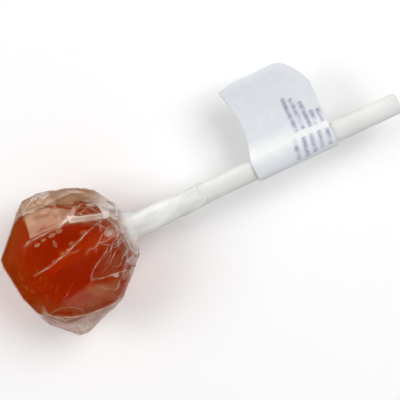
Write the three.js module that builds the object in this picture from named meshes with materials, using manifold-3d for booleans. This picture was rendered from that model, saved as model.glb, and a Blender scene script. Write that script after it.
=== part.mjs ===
// Maple lollipop: a faceted amber hard candy on a rolled paper stick, twisted into clear film,
// with a folded paper label on the stick.
// Millimetres, +Z up. The stick runs along +X from the candy to its free end, and the whole
// lies on the lowest facet of the candy. The pieces are built with the stick's axis on the X
// axis and the middle of the candy at x = 0, and the group then sets them down.

import * as THREE from "three";
import { ConvexGeometry } from "three/addons/geometries/ConvexGeometry.js";
import { mergeVertices } from "three/addons/utils/BufferGeometryUtils.js";
import Module from "manifold-3d";

const wasm = await Module();
wasm.setup();

// Free space between pieces that touch
const GAP = 0.3;

// Candy: six main facets, twelve along the edges and eight at the corners of a block
const CANDY_HALF_LENGTH = 12.3;
const CANDY_HALF_WIDTH = 12.3;
const CANDY_HALF_HEIGHT = 11.9;
const CANDY_EDGE_REACH = 13.0;
const CANDY_CORNER_REACH = 12.8;
const CANDY_UNEVENNESS = 0.3;
const CANDY_END_SHIFT = -0.2;
const CANDY_SIDE_SHIFT = -0.45;
const FAR_FACET_SLANT = THREE.MathUtils.degToRad(9);

// Stick
const STICK_RADIUS = 2.2;
const STICK_LENGTH = 78;
const STICK_FREE_END = 75.3;
const STICK_END_ROUNDING = 0.6;
const STICK_ROUNDING_STEPS = 4;

// Film wrapper: a skin over the candy, its slack folds, a neck and a tail on the stick
const FILM_WALL = 0.3;
const NECK_START = CANDY_HALF_LENGTH + 0.5;
const NECK_END = 17.5;
const NECK_WIDE_RADIUS = 5.6;
const NECK_STEPS = 20;
const TAIL_END = 31.2;
const TAIL_POINT = 1.4;
const TAIL_POINT_ANGLE = THREE.MathUtils.degToRad(-100);
const PLEATS = 9;
const PLEAT_DEPTH = 0.07;
const PLEAT_TWIST = 0.18;
const SLACK_FOLDS = [
  { start: -10.9, end: -9.8, side: -11.3, low: -2, high: 2 },
  { start: -5.5, end: -3.4, side: -16.2, low: -3, high: 2 },
  { start: -4.6, end: -1.3, side: 14.7, low: -2, high: 3 },
  { start: 2.6, end: 4.4, side: 13.5, low: -2, high: 2 },
  { start: 6.8, end: 8.0, side: 11.9, low: -2, high: 2 },
  { start: 9.3, end: 10.4, side: 10.2, low: -2, high: 2 },
];

// Label: a strip round the stick whose two ends are stuck together as a flag
const LABEL_START = 42.6;
const LABEL_WIDTH = 18;
const LABEL_WALL = 0.3;
const FLAG_REACH = 18.4;
const FLAG_THICKNESS = 0.5;
const FLAG_LEVEL = -0.5;
const FLAG_CURL = 1.6;
const FLAG_CURL_START = 0.6;
const FLAG_CLIP = { along: 3.4, side: 5.4 };

const ROUND_SEGMENTS = 48;
const CUTTER_SIZE = 60;
const Z_AXIS = new THREE.Vector3(0, 0, 1);

function toSolid(geometry) {
  const bare = geometry.clone();
  bare.deleteAttribute("normal");
  bare.deleteAttribute("uv");
  const merged = mergeVertices(bare, 1e-4);
  const mesh = new wasm.Mesh({
    numProp: 3,
    vertProperties: new Float32Array(merged.attributes.position.array),
    triVerts: new Uint32Array(merged.index.array),
  });
  return new wasm.Manifold(mesh);
}

function toGeometry(solid) {
  const mesh = solid.getMesh();
  const geometry = new THREE.BufferGeometry();
  geometry.setAttribute("position", new THREE.BufferAttribute(mesh.vertProperties, 3));
  geometry.setIndex(new THREE.BufferAttribute(mesh.triVerts, 1));
  return geometry;
}

function cornersOf(solid) {
  const { vertProperties } = solid.getMesh();
  const corners = [];
  for (let i = 0; i < vertProperties.length; i += 3) {
    corners.push(new THREE.Vector3().fromArray(vertProperties, i));
  }
  return corners;
}

// A solid of revolution about the X axis, from [x, radius] pairs running along +X
function turned(profile) {
  const points = profile.map(([x, radius]) => new THREE.Vector2(radius, x));
  const geometry = new THREE.LatheGeometry(points, ROUND_SEGMENTS);
  geometry.rotateZ(-Math.PI / 2);
  return geometry;
}

// ---- Candy: a block cut by one plane for each direction that looks out of it

function facetReach(i, j, k) {
  const directions = Math.abs(i) + Math.abs(j) + Math.abs(k);
  if (directions === 3) {
    return CANDY_CORNER_REACH;
  }
  if (directions === 2) {
    return CANDY_EDGE_REACH;
  }
  const mainReaches = [CANDY_HALF_LENGTH, CANDY_HALF_WIDTH, CANDY_HALF_HEIGHT];
  return mainReaches[[i, j, k].findIndex((step) => step !== 0)];
}

function candyFacets() {
  const facets = [];
  const steps = [-1, 0, 1];
  for (const i of steps) {
    for (const j of steps) {
      for (const k of steps) {
        if (i === 0 && j === 0 && k === 0) {
          continue;
        }
        const normal = new THREE.Vector3(i, j, k).normalize();
        if (i === -1 && j === 0 && k === 0) {
          normal.applyAxisAngle(Z_AXIS, FAR_FACET_SLANT);
        }
        const unevenness = CANDY_UNEVENNESS * Math.sin(2.1 * i + 3.7 * j + 5.3 * k);
        facets.push({ normal, reach: facetReach(i, j, k) + unevenness });
      }
    }
  }
  return facets;
}

function facetedBody(offset) {
  let body = toSolid(new THREE.BoxGeometry(CUTTER_SIZE, CUTTER_SIZE, CUTTER_SIZE));
  for (const { normal, reach } of candyFacets()) {
    const cutter = new THREE.BoxGeometry(2 * CUTTER_SIZE, 2 * CUTTER_SIZE, CUTTER_SIZE);
    cutter.translate(0, 0, CUTTER_SIZE / 2 + reach + offset);
    cutter.applyQuaternion(new THREE.Quaternion().setFromUnitVectors(Z_AXIS, normal));
    body = body.subtract(toSolid(cutter));
  }
  return body.translate([CANDY_END_SHIFT, CANDY_SIDE_SHIFT, 0]);
}

function candyGeometry() {
  const socketEnd = STICK_FREE_END - STICK_LENGTH - GAP;
  const socketRadius = STICK_RADIUS + GAP;
  const socket = turned([
    [socketEnd, 0],
    [socketEnd, socketRadius],
    [CUTTER_SIZE, socketRadius],
    [CUTTER_SIZE, 0],
  ]);
  return toGeometry(facetedBody(0).subtract(toSolid(socket)));
}

// ---- Stick: a tight roll of paper with softened ends

// Profile of one end, from the middle of its flat face out to the full radius
function stickEnd(face, inward) {
  const profile = [[face, 0]];
  for (let step = 0; step <= STICK_ROUNDING_STEPS; step += 1) {
    const angle = (step / STICK_ROUNDING_STEPS) * (Math.PI / 2);
    const along = STICK_END_ROUNDING * (1 - Math.cos(angle));
    const narrowing = STICK_END_ROUNDING * (1 - Math.sin(angle));
    profile.push([face + inward * along, STICK_RADIUS - narrowing]);
  }
  return profile;
}

function stickGeometry() {
  const inCandy = stickEnd(STICK_FREE_END - STICK_LENGTH, 1);
  const free = stickEnd(STICK_FREE_END, -1).reverse();
  return turned([...inCandy, ...free]);
}

// ---- Wrapper: film drawn over the candy and out to the folds, then gathered on the stick

function foldCorners({ start, end, side, low, high }, inset) {
  const y = side - Math.sign(side) * inset;
  const corners = [];
  for (const x of [start + inset, end - inset]) {
    for (const z of [low + inset, high - inset]) {
      corners.push(new THREE.Vector3(x, y, z));
    }
  }
  return corners;
}

function drape(offset, foldInset) {
  const corners = cornersOf(facetedBody(offset));
  for (const fold of SLACK_FOLDS) {
    corners.push(...foldCorners(fold, foldInset));
  }
  return toSolid(new ConvexGeometry(corners));
}

// Radius inside the gathered film at x: wide on the candy's facet, then down to the stick
function gatherRadius(x) {
  const along = THREE.MathUtils.clamp((x - NECK_START) / (NECK_END - NECK_START), 0, 1);
  const tailRadius = STICK_RADIUS * (1 + PLEAT_DEPTH) + GAP;
  return tailRadius + (NECK_WIDE_RADIUS - tailRadius) * (1 - along) ** 3;
}

function gatheredFilm(wall, end) {
  const profile = [[0, 0]];
  for (let step = 0; step <= NECK_STEPS; step += 1) {
    const x = NECK_START + (end - NECK_START) * (step / NECK_STEPS);
    profile.push([x, gatherRadius(x) + wall]);
  }
  profile.push([end, 0]);
  const geometry = turned(profile);
  const position = geometry.attributes.position;
  for (let i = 0; i < position.count; i += 1) {
    const x = position.getX(i);
    const y = position.getY(i);
    const z = position.getZ(i);
    const angle = Math.atan2(z, y);
    const gather = THREE.MathUtils.smoothstep(x, 0, NECK_START);
    const pleat = 1 + gather * PLEAT_DEPTH * Math.sin(PLEATS * angle + PLEAT_TWIST * x);
    const pointed = THREE.MathUtils.smoothstep(x, NECK_END, end);
    const tip = pointed * TAIL_POINT * Math.cos(angle - TAIL_POINT_ANGLE);
    position.setXYZ(i, x + tip, y * pleat, z * pleat);
  }
  return toSolid(geometry);
}

function wrapperGeometry() {
  const outer = drape(GAP + FILM_WALL, 0).add(gatheredFilm(FILM_WALL, TAIL_END));
  const inner = drape(GAP, FILM_WALL).add(gatheredFilm(0, TAIL_END + 2 * TAIL_POINT));
  return toGeometry(outer.subtract(inner));
}

// ---- Label: ring round the stick and a flag to its side, extruded along the stick

function labelGeometry() {
  const inner = STICK_RADIUS + GAP;
  const outer = inner + LABEL_WALL;
  const top = FLAG_LEVEL + FLAG_THICKNESS;
  const topAngle = Math.asin(top / outer);
  const bottomAngle = Math.asin(FLAG_LEVEL / outer);
  const bend = FLAG_REACH * FLAG_CURL_START;
  const outline = new THREE.Shape();
  outline.absarc(0, 0, outer, topAngle, bottomAngle + 2 * Math.PI, false);
  outline.quadraticCurveTo(bend, FLAG_LEVEL, FLAG_REACH, FLAG_LEVEL + FLAG_CURL);
  outline.lineTo(FLAG_REACH, top + FLAG_CURL);
  outline.quadraticCurveTo(bend, top, outer * Math.cos(topAngle), top);
  const bore = new THREE.Path();
  bore.absarc(0, 0, inner, 0, 2 * Math.PI, true);
  outline.holes.push(bore);
  const strip = new THREE.ExtrudeGeometry(outline, {
    depth: LABEL_WIDTH,
    bevelEnabled: false,
    curveSegments: ROUND_SEGMENTS,
  });
  strip.rotateY(Math.PI / 2);
  strip.rotateX(Math.PI / 2);
  strip.translate(LABEL_START, 0, 0);
  const { along, side } = FLAG_CLIP;
  const clip = new THREE.BoxGeometry(4 * side, 4 * side, CUTTER_SIZE);
  clip.translate(2 * side, 0, 0);
  clip.rotateZ(Math.atan2(along, side));
  clip.translate(LABEL_START + LABEL_WIDTH - along / 2, FLAG_REACH - side / 2, 0);
  return toGeometry(toSolid(strip).subtract(toSolid(clip)));
}

// ---- The whole, set down with its origin at the middle of its base

function piece(name, geometry, material) {
  const mesh = new THREE.Mesh(geometry, new THREE.MeshStandardMaterial(material));
  mesh.name = name;
  return mesh;
}

const lollipop = new THREE.Group();
lollipop.add(piece("candy", candyGeometry(), { color: 0x92280a, roughness: 0.12, metalness: 0 }));
lollipop.add(piece("stick", stickGeometry(), { color: 0xe9e8e3, roughness: 0.75, metalness: 0 }));
lollipop.add(piece("wrapper", wrapperGeometry(), { color: 0xd9cfca, roughness: 0.1, metalness: 0 }));
lollipop.add(piece("label", labelGeometry(), { color: 0xdddee4, roughness: 0.7, metalness: 0 }));

const extent = new THREE.Box3().setFromObject(lollipop, true);
const centre = extent.getCenter(new THREE.Vector3());
lollipop.position.set(-centre.x, -centre.y, -extent.min.z);

export default lollipop;
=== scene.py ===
import math
import random

import bmesh
import bpy
import numpy as np
from mathutils import Matrix, Vector


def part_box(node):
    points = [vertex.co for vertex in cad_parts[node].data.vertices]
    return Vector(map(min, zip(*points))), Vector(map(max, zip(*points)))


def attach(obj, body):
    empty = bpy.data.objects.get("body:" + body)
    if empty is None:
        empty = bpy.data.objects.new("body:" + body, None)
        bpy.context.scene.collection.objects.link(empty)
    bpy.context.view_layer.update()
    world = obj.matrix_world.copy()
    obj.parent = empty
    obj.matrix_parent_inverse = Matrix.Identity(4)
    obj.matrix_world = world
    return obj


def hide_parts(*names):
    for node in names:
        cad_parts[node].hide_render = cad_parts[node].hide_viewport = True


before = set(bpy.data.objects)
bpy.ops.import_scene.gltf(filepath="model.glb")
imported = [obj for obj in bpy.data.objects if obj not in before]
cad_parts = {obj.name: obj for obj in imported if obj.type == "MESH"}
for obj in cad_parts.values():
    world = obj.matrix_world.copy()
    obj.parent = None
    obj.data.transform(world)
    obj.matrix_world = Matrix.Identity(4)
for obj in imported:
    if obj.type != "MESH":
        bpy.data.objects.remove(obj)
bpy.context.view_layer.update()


# ---- Candy
# Hard candy of sugar and maple syrup, boiled to a clear amber glass and cast round the end of
# the stick in a mould with flat facets and soft edges. Small bubbles and streaks stay in it.

# Every piece is shaped in millimetres round the middle of the candy, on the stick's axis
MM = 0.001
STICK_FREE_END = 75.3
stick_low, stick_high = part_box("stick")
middle = Vector((
    stick_high.x - STICK_FREE_END * MM,
    (stick_low.y + stick_high.y) / 2,
    (stick_low.z + stick_high.z) / 2,
))

UNCUT_BLOCK = 60
CANDY_HALF_LENGTH = 12.3
CANDY_HALF_WIDTH = 12.3
CANDY_HALF_HEIGHT = 11.9
CANDY_EDGE_REACH = 13.0
CANDY_CORNER_REACH = 12.8
CANDY_UNEVENNESS = 0.3
CANDY_END_SHIFT = -0.2
CANDY_SIDE_SHIFT = -0.45
FAR_FACET_SLANT = math.radians(9)
CANDY_EDGE_SOFTNESS = 0.35
CANDY_EDGE_STEPS = 3
candy_centre = Vector((CANDY_END_SHIFT, CANDY_SIDE_SHIFT, 0))

AMBER_MIDDLE = (0.365, 0.0185, 0.0)
AMBER_RIM = (0.32, 0.033, 0.0)
AMBER_BY_STICK = (0.50, 0.025, 0.0)
AMBER_GLASS = (0.60, 0.32, 0.004)
AMBER_THROUGH = (0.967, 0.633, 0.02)
AMBER_SHADE = (0.5, 0.38, 0.28)
SYRUP_LIGHT = (0.58, 0.18, 0.01)
BOILED_SUGAR = (0.06, 0.004, 0.0)
CLOUDY_SHARE = 0.6


def candy_facets():
    """The way each flat facet faces, and how far it lies from the candy's centre."""
    for i in (-1, 0, 1):
        for j in (-1, 0, 1):
            for k in (-1, 0, 1):
                ways = abs(i) + abs(j) + abs(k)
                if ways == 0:
                    continue
                facing = Vector((i, j, k)).normalized()
                if (i, j, k) == (-1, 0, 0):
                    facing.rotate(Matrix.Rotation(FAR_FACET_SLANT, 3, "Z"))
                main = (
                    abs(i) * CANDY_HALF_LENGTH
                    + abs(j) * CANDY_HALF_WIDTH
                    + abs(k) * CANDY_HALF_HEIGHT
                )
                reach = {1: main, 2: CANDY_EDGE_REACH, 3: CANDY_CORNER_REACH}[ways]
                reach += CANDY_UNEVENNESS * math.sin(2.1 * i + 3.7 * j + 5.3 * k)
                yield facing, reach


def faceted_block(offset):
    """A block cut by one plane for each facet, round the candy's own centre."""
    bm = bmesh.new()
    bmesh.ops.create_cube(bm, size=UNCUT_BLOCK)
    for facing, reach in candy_facets():
        cut = bmesh.ops.bisect_plane(
            bm,
            geom=bm.verts[:] + bm.edges[:] + bm.faces[:],
            plane_co=facing * (reach + offset),
            plane_no=facing,
            clear_outer=True,
        )
        rim = [g for g in cut["geom_cut"] if isinstance(g, bmesh.types.BMEdge)]
        bmesh.ops.edgeloop_fill(bm, edges=rim)
    bmesh.ops.translate(bm, verts=bm.verts, vec=candy_centre)
    return bm


def finished(bm, name, smooth=True):
    """Sets a piece that was shaped in millimetres in its place in the frame."""
    bmesh.ops.transform(
        bm, verts=bm.verts, matrix=Matrix.Translation(middle) @ Matrix.Scale(MM, 4)
    )
    mesh = bpy.data.meshes.new(name)
    for face in bm.faces:
        face.smooth = smooth
    bm.to_mesh(mesh)
    bm.free()
    piece = bpy.data.objects.new(name, mesh)
    bpy.context.scene.collection.objects.link(piece)
    return piece


class Value:
    """A number that changes over a surface; sums on it add Math nodes to its material."""

    def __init__(self, finish, socket):
        self.finish = finish
        self.socket = socket

    def maths(self, operation, *terms):
        return self.finish.node("Math", {"operation": operation}, dict(enumerate(terms)))

    def __add__(self, other):
        return self.maths("ADD", self, other)

    __radd__ = __add__

    def __sub__(self, other):
        return self.maths("SUBTRACT", self, other)

    def __rsub__(self, other):
        return self.maths("SUBTRACT", other, self)

    def __mul__(self, other):
        return self.maths("MULTIPLY", self, other)

    __rmul__ = __mul__

    def __truediv__(self, other):
        return self.maths("DIVIDE", self, other)

    def __pow__(self, other):
        return self.maths("POWER", self, other)

    def __abs__(self):
        return self.maths("ABSOLUTE", self)

    def step(self, low, high):
        """0 below low and 1 above high, smooth between; the other way round if high is lower."""
        return self.finish.node(
            "MapRange",
            {"interpolation_type": "SMOOTHSTEP"},
            {"Value": self, "From Min": low, "From Max": high},
        )


class Finish:
    """A material and the nodes that are added to it."""

    def __init__(self, name):
        self.material = bpy.data.materials.new(name)
        self.material.use_nodes = True
        self.tree = self.material.node_tree
        self.tree.nodes.clear()

    def node(self, kind, settings=None, values=None, output=0):
        """An output of a new shader node; its inputs are linked to values or set to numbers."""
        made = self.tree.nodes.new("ShaderNode" + kind)
        for key, setting in (settings or {}).items():
            setattr(made, key, setting)
        for key, value in (values or {}).items():
            socket = made.inputs[key]
            if isinstance(value, Value):
                self.tree.links.new(value.socket, socket)
            elif hasattr(socket.default_value, "__len__") and len(socket.default_value) == 4:
                socket.default_value = (*value, 1)
            else:
                socket.default_value = value
        return Value(self, made.outputs[output])

    def mix(self, share, first, second):
        """A colour between two colours."""
        made = self.tree.nodes.new("ShaderNodeMix")
        made.data_type = "RGBA"
        sockets = [s for s in made.inputs if s.type == "RGBA"]
        for socket, value in ((made.inputs[0], share), (sockets[0], first), (sockets[1], second)):
            if isinstance(value, Value):
                self.tree.links.new(value.socket, socket)
            else:
                socket.default_value = value if socket == made.inputs[0] else (*value, 1)
        return Value(self, next(s for s in made.outputs if s.type == "RGBA"))

    def place(self, turn=(0, 0, 0), scale=(1, 1, 1), start=(0, 0, 0)):
        """Where a point of the piece is, from the middle of the candy, in the frame's metres."""
        where = self.node("TexCoord", output="Object")
        origin = middle + Vector(start)
        return self.node(
            "Mapping",
            {"vector_type": "TEXTURE"},
            {"Vector": where, "Location": origin, "Rotation": turn, "Scale": scale},
        )

    def parts(self, vector, scale=1):
        """The x, y and z of a vector."""
        made = self.tree.nodes.new("ShaderNodeSeparateXYZ")
        self.tree.links.new(vector.socket, made.inputs[0])
        return [Value(self, socket) * scale for socket in made.outputs]

    def show(self, surface, volume=None):
        out = self.tree.nodes.new("ShaderNodeOutputMaterial")
        self.tree.links.new(surface.socket, out.inputs["Surface"])
        if volume is not None:
            self.tree.links.new(volume.socket, out.inputs["Volume"])
        return self.material


def amber_candy():
    finish = Finish("amber_candy")
    place = finish.place()
    x, y, _ = finish.parts(place)
    outward = (x * x + y * y) ** 0.5
    clouds = finish.node(
        "TexNoise", values={"Vector": place, "Scale": 110, "Detail": 3, "Roughness": 0.6}
    )
    # Yellower amber towards the rim is painted light: it stands for light coming through the
    # thinner candy there
    rim = outward.step(6 * MM, 13.5 * MM) + (clouds - 0.5) * 0.8
    amber = finish.mix(rim.step(0, 1), AMBER_MIDDLE, AMBER_RIM)
    # Light that comes back from the end of the white stick warms the middle
    by_stick_end = finish.place(
        turn=(0, 0, 0.3), scale=(3.6 * MM, 1.9 * MM, 1), start=(-1.9 * MM, -0.8 * MM, 0)
    )
    from_stick_end = finish.node(
        "VectorMath", {"operation": "LENGTH"}, {0: by_stick_end}, output="Value"
    )
    amber = finish.mix(from_stick_end.step(1, 0.2) * 0.9, amber, AMBER_BY_STICK)
    # Bubbles, most of them towards the far end
    cells = {"Vector": place, "Scale": 860}
    to_bubble = finish.node("TexVoronoi", values=cells)
    chance = finish.parts(finish.node("TexVoronoi", values=cells, output=1))[0]
    bubble = (to_bubble / (chance + 0.5)).step(0.34, 0.18) * (chance + x * 90).step(0.0, -0.1)
    # Finer specks, more evenly scattered
    fine = {"Vector": place, "Scale": 1900}
    to_speck = finish.node("TexVoronoi", values=fine)
    luck = finish.parts(finish.node("TexVoronoi", values=fine, output=1))[1]
    speck = to_speck.step(0.36, 0.2) * (luck + x * 12).step(0.1, 0.02)
    # Streaks of syrup
    drawn_out = finish.place(turn=(0.3, 0.2, 0.9), scale=(1, 0.12, 0.5))
    streak = finish.node(
        "TexNoise", values={"Vector": drawn_out, "Scale": 130, "Detail": 2, "Distortion": 0.6}
    )
    fine_line = abs(streak - 0.5).step(0.012, 0.002)
    light_part = bubble * 0.55 + speck * 0.5 + fine_line * (x.step(0, -6 * MM) * 0.25 + 0.1)
    amber = finish.mix(light_part, amber, SYRUP_LIGHT)
    # A dark speck of boiled sugar near the top
    from_speck = finish.node(
        "VectorMath",
        {"operation": "DISTANCE"},
        {0: place, 1: (-1.1 * MM, -2.1 * MM, 11.9 * MM)},
        output="Value",
    )
    amber = finish.mix(from_speck.step(0.45 * MM, 0.2 * MM) * 0.75, amber, BOILED_SUGAR)
    waves = finish.node("TexNoise", values={"Vector": place, "Scale": 160, "Detail": 2})
    wavy = finish.node("Bump", values={"Height": waves, "Strength": 0.25, "Distance": 0.4 * MM})
    cloudy = finish.node(
        "BsdfPrincipled",
        values={
            "Base Color": amber,
            "Roughness": 0.35,
            "Specular IOR Level": 0.0,
            "Subsurface Weight": 0.6,
            "Subsurface Radius": (1, 0.3, 0.1),
            "Subsurface Scale": 4 * MM,
            "Normal": wavy,
        },
    )
    glass = finish.node(
        "BsdfPrincipled",
        values={
            "Base Color": AMBER_GLASS,
            "Roughness": 0.2,
            "IOR": 1.05,
            "Transmission Weight": 1,
            "Normal": wavy,
        },
    )
    body = finish.node("MixShader", values={0: CLOUDY_SHARE, 1: glass, 2: cloudy})
    # The lamps shine through the candy, so its shadow is a warm one
    shade = finish.node("BsdfTransparent", values={"Color": AMBER_SHADE})
    from_lamp = finish.node("LightPath", output="Is Shadow Ray")
    surface = finish.node("MixShader", values={0: from_lamp, 1: body, 2: shade})
    inside = finish.node("VolumeAbsorption", values={"Color": AMBER_THROUGH, "Density": 300})
    return finish.show(surface, inside)


candy_mesh = faceted_block(0)
bmesh.ops.bevel(
    candy_mesh,
    geom=candy_mesh.edges[:],
    offset=CANDY_EDGE_SOFTNESS,
    offset_type="OFFSET",
    segments=CANDY_EDGE_STEPS,
    profile=0.5,
    affect="EDGES",
    material=-1,
)
candy = finished(candy_mesh, "candy_block")
candy.data.materials.append(amber_candy())
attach(candy, "root")
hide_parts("candy")


# ---- Stick
# White paper wound tightly into a stick, with its last edge glued down along the length and
# both ends pressed and a little softened.

STICK_RADIUS = 2.2
STICK_LENGTH = 78
STICK_END_SOFTNESS = 0.7
STICK_END_STEPS = 6
STICK_ROUND = 64
PAPER_TURN = 0.24
SEAM_TURNED = -0.9
STICK_WHITES = ((0.66, 0.665, 0.655), (0.725, 0.73, 0.72))
SEAM_SHADE = (0.42, 0.41, 0.38)


def rolled_paper():
    finish = Finish("rolled_paper")
    place = finish.place()
    _, y, z = finish.parts(place, 1 / MM)
    grain = finish.node(
        "TexNoise", values={"Vector": place, "Scale": 900, "Detail": 3, "Roughness": 0.6}
    )
    clouds = finish.node("TexNoise", values={"Vector": place, "Scale": 120, "Detail": 2})
    white = finish.mix(clouds.step(0.35, 0.7), *STICK_WHITES)
    # The last edge of the paper shows as a line along the stick, and its turns at both ends
    turned = z.maths("ARCTAN2", z, y)
    seam = abs(turned - SEAM_TURNED).step(0.07, 0.02)
    end_on = finish.parts(finish.node("TexCoord", output="Normal"))[0]
    end_face = abs(end_on).step(0.7, 0.9)
    turns = (y * y + z * z) ** 0.5 * (2 * math.pi / PAPER_TURN) + turned
    layers = turns.maths("SINE", turns) * 0.5 + 0.5
    tone = finish.mix(seam * 0.35 + end_face * layers * 0.3, white, SEAM_SHADE)
    relief = grain * 0.3 - seam - end_face * layers
    rough = finish.node("Bump", values={"Height": relief, "Strength": 0.4, "Distance": 0.1 * MM})
    return finish.show(
        finish.node(
            "BsdfPrincipled",
            values={
                "Base Color": tone,
                "Roughness": grain * 0.2 + 0.55,
                "Specular IOR Level": 0.12,
                "Normal": rough,
            },
        )
    )


def stick_profile():
    """Points from one end of the stick to the other: how far along and how far out they lie."""
    start = STICK_FREE_END - STICK_LENGTH
    for face, inward in ((start, 1), (STICK_FREE_END, -1)):
        for step in range(STICK_END_STEPS)[::inward]:
            angle = step / (STICK_END_STEPS - 1) * math.pi / 2
            yield (
                face + inward * STICK_END_SOFTNESS * (1 - math.cos(angle)),
                STICK_RADIUS - STICK_END_SOFTNESS * (1 - math.sin(angle)),
            )


stick_mesh = bmesh.new()
rim = [stick_mesh.verts.new((x, r, 0)) for x, r in stick_profile()]
line = [stick_mesh.edges.new(pair) for pair in zip(rim, rim[1:])]
bmesh.ops.spin(
    stick_mesh,
    geom=rim + line,
    cent=(0, 0, 0),
    axis=(1, 0, 0),
    angle=2 * math.pi,
    steps=STICK_ROUND,
    use_merge=True,
)
bmesh.ops.holes_fill(stick_mesh, edges=stick_mesh.edges[:])
bmesh.ops.recalc_face_normals(stick_mesh, faces=stick_mesh.faces[:])
stick = finished(stick_mesh, "paper_stick")
stick.data.materials.append(rolled_paper())
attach(stick, "root")
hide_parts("stick")


# ---- Wrapper
# A square of thin clear film, drawn tight over the candy and gathered at a neck, then wound
# along the stick to a ragged end. Its slack stands off in folds at both sides, and it looks
# milky where its layers lie loose or crumpled.

FILM_CLEARANCE = 0.22
FILM_ROUND = 384
FILM_RINGS = 256
NECK_RINGS = 64
TUCKED_RINGS = 3
FINER_ABOVE = 0.3
MEETING_LEVEL = -0.22
EDGE_SHARPNESS = 160
NECK_ANGLE = math.radians(21)
NECK_END = 17.5
NECK_STEEPNESS = 4.5
NECK_TWIST = 0.2
TAIL_END = 30.6
TAIL_RADIUS = 2.3
TAIL_SLACK = 0.4
TAIL_CORNER_LENGTH = 1.8
TAIL_CORNER_TURNED = math.radians(165)
TUCKED_RADIUS = 1.2
TUCKED_DEPTH = 0.3

# Corners of the slack folds: x from and to, y, z from and to
SLACK_FOLDS = (
    ((-10.6, -10.1), -11.3, (-1, 0.6)),
    ((-5.5, -3.4), -16.2, (-1.2, 0.8)),
    ((-4.6, -1.3), 14.7, (-1, 1.4)),
    ((2.6, 4.4), 13.5, (-1, 1.2)),
    ((6.9, 7.9), 11.9, (-1, 1)),
    ((9.7, 10.1), 10.2, (-1, 1)),
)

# Areas of film as they lie from above: outline, milkiness, how far it stands off the candy
# The first two areas, the small fourth and the faint ones on the near side are painted glare: milk
# that stands for light reflected off the film, alongside the glint lamps' own reflection
FILM_AREAS = (
    (
        ((-4, 6.4), (-4.3, 10), (-5.4, 12), (0.2, 12.1), (3.2, 10.3), (5.4, 9.2), (6.8, 9.2),
         (5.6, 7), (4.5, 6.3)),
        0.25, 0,
    ),
    (((2.8, 10.6), (4, 9.6), (6.8, 9.2), (5.6, 7), (4.4, 6.2), (2.8, 6.2)), 0.15, 0.1),
    (
        ((4.5, 7.2), (6.7, 6.3), (9.3, 5.4), (11.6, 4.8), (11.5, 3.6), (9.9, 4), (7.5, 4.9),
         (4.4, 5.9)),
        0.6, 0.25,
    ),
    (((3, 6.3), (4.7, 6.5), (4.6, 7.4), (3.6, 7)), 0.35, 0.05),
    (((11.4, 4), (11.9, 6.3), (13.2, 4.4), (12.7, 2.4)), 0.3, 0.1),
    (((11.9, 2.4), (12.9, 2), (13, -1.2), (12.3, -0.7)), 0.15, 0.1),
    (((9.6, 7.8), (10.9, 7.2), (11.8, 5.6), (11.5, 4), (10.6, 3.9), (10.3, 6)), 0.75, 0.3),
    (
        ((2.5, -7.1), (3.8, -6.9), (7.3, -10.3), (6, -12.3), (-0.3, -11.6), (-6.6, -8.9),
         (1, -7.4)),
        0.065, 0,
    ),
    (((4, -6.4), (9, -2.2), (9.7, -4.9), (8.5, -7.3)), 0.05, 0.2),
    (((2.2, -7.4), (7.7, -8.4), (8.4, -10.6), (5.4, -12.2), (2.6, -9.4)), 0.085, 0),
    (((-11, -6.5), (-8.4, -7.3), (-8.2, -9.4), (-6.3, -10.4), (-9, -11)), 0.1, 0),
    (((9.5, 0.9), (10.1, 1.8), (11.1, 2.3), (11.8, 0.5), (10, 0.1)), 0.3, 0.1),
    (
        ((10.7, -5.8), (12.6, -5.3), (12.2, -6.9), (10.7, -8.4), (8.5, -9.3), (8.7, -8.3),
         (11.2, -7.5)),
        0.35, 0.1,
    ),
    (((7.3, -7.3), (8.5, -7.3), (8.3, -8.2), (7.7, -8.2)), 0.6, 0.05),
    (((-4.4, -14.2), (-1.6, -13.8), (-1.8, -16), (-4.2, -16.5)), 0.75, 0.1),
)

# White crumpled spots of the slack film
FILM_CRUMPLES = (
    ((-2.4, 13.2), (-2, 14.4), (0.2, 14.8), (1.6, 14.2), (2, 12.9), (0.9, 12.4), (-0.5, 13.4)),
    ((-4.2, -14), (-2.6, -13.6), (-2.4, -16), (-4.4, -16.4)),
)

# The slack film, milky over the candy too, as far as the groove and the long crease
FAR_SLACK = (
    (-3, 15.5), (-1.2, 12.8), (1.2, 11.6), (3.9, 9.9), (6.1, 9), (8.9, 8.7), (12, 8.2), (8, 15.5),
)
NEAR_SLACK = (
    (-9.6, -8), (-8.4, -9.6), (-6.3, -10.7), (-0.8, -12.4), (5.8, -12.6), (4, -18), (-6, -18),
    (-13, -11),
)

# Grooves where the film dips back to the candy and looks dark, partly clearer film and partly
# painted shade: points, half width
FILM_GROOVES = (
    (((-4.8, 12.2), (-3.2, 12.9), (-1.7, 13.2), (-0.6, 13)), 0.3),
    (((-6.4, 11.5), (-4.9, 12), (-2.9, 12.4), (-1.5, 12.4)), 0.22),
    (((-5.6, 12.6), (-4.2, 13.2), (-2.9, 13.8)), 0.2),
    (((-1.1, 12.7), (1.2, 11.5), (3.9, 9.7), (5.1, 8.9), (7.1, 9.2), (8.8, 8.6)), 0.42),
    (((10.9, 1.9), (11.9, 0), (12.5, -2.2), (12.2, -4)), 0.5),
)

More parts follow.
